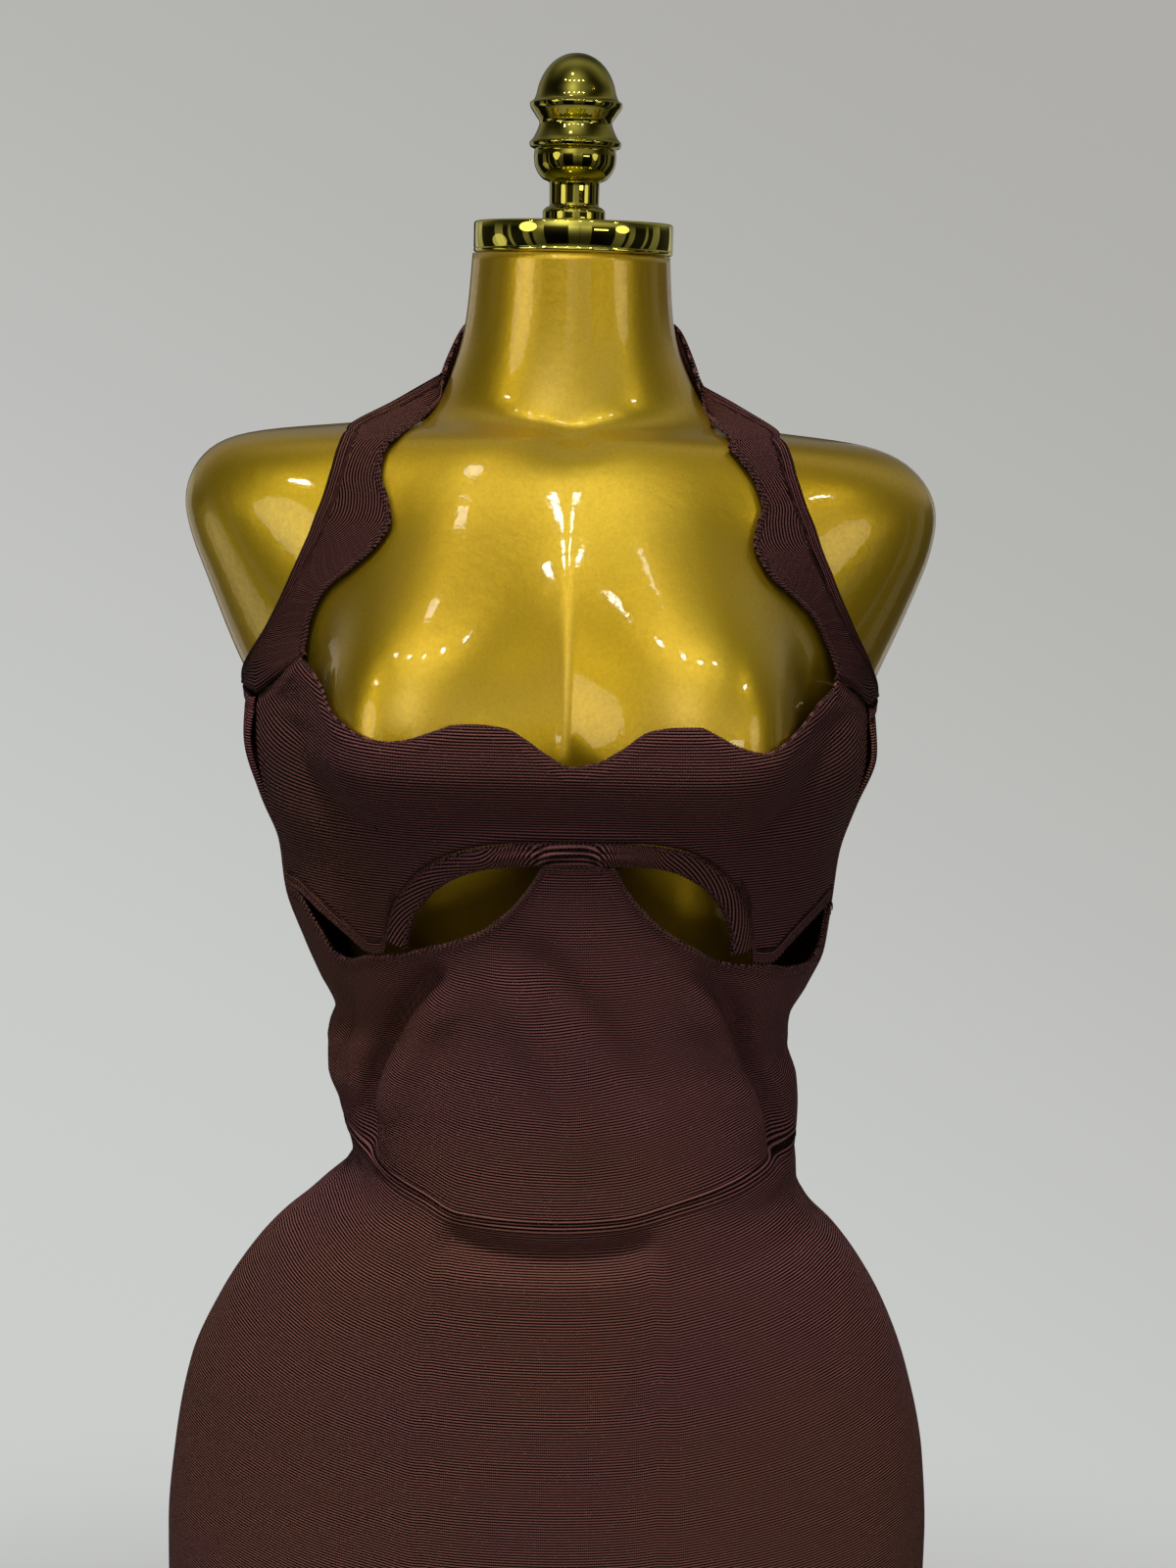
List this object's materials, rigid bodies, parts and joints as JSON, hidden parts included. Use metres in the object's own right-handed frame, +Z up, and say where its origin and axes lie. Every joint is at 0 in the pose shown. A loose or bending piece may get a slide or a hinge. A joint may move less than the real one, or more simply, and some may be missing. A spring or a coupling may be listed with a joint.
{
  "type": "bodycon dress on a dress form",
  "caption": "Bodycon halter dress in ribbed bandage knit with a scalloped neckline and under-bust cut-outs, worn by a limbless dress form with a finial, on a pole and round base.",
  "frame": {"origin": "middle of the base plate's flat underside, on the floor", "axes": "+Z up the pole through the neck to the finial, -Y towards the front of the dress, +X towards the wearer's left"},
  "size_m": [0.4043, 0.32, 1.5565],
  "materials": {
    "knit": "dark plum-brown bandage rib knit, soft satin sheen",
    "knit_band": "the same knit folded double, gathered in the middle",
    "gold_paint": "glossy metallic gold paint on a moulded shell, fine orange peel",
    "polished_brass": "mirror-polished",
    "gold_steel": "gold-coloured satin coating on steel"
  },
  "bodies": {
    "root": {"bust_front": "knit", "midriff_front": "knit", "back_panel": "knit", "skirt_front": "knit", "skirt_back": "knit", "strap_right": "knit", "strap_left": "knit", "arch_band": "knit_band", "form_torso": "gold_paint", "neck_cap": "polished_brass", "finial": "polished_brass", "form_flange": "gold_steel", "stand_pole": "gold_steel", "stand_collar": "gold_steel", "stand_base": "gold_steel"}
  },
  "joints": []
}
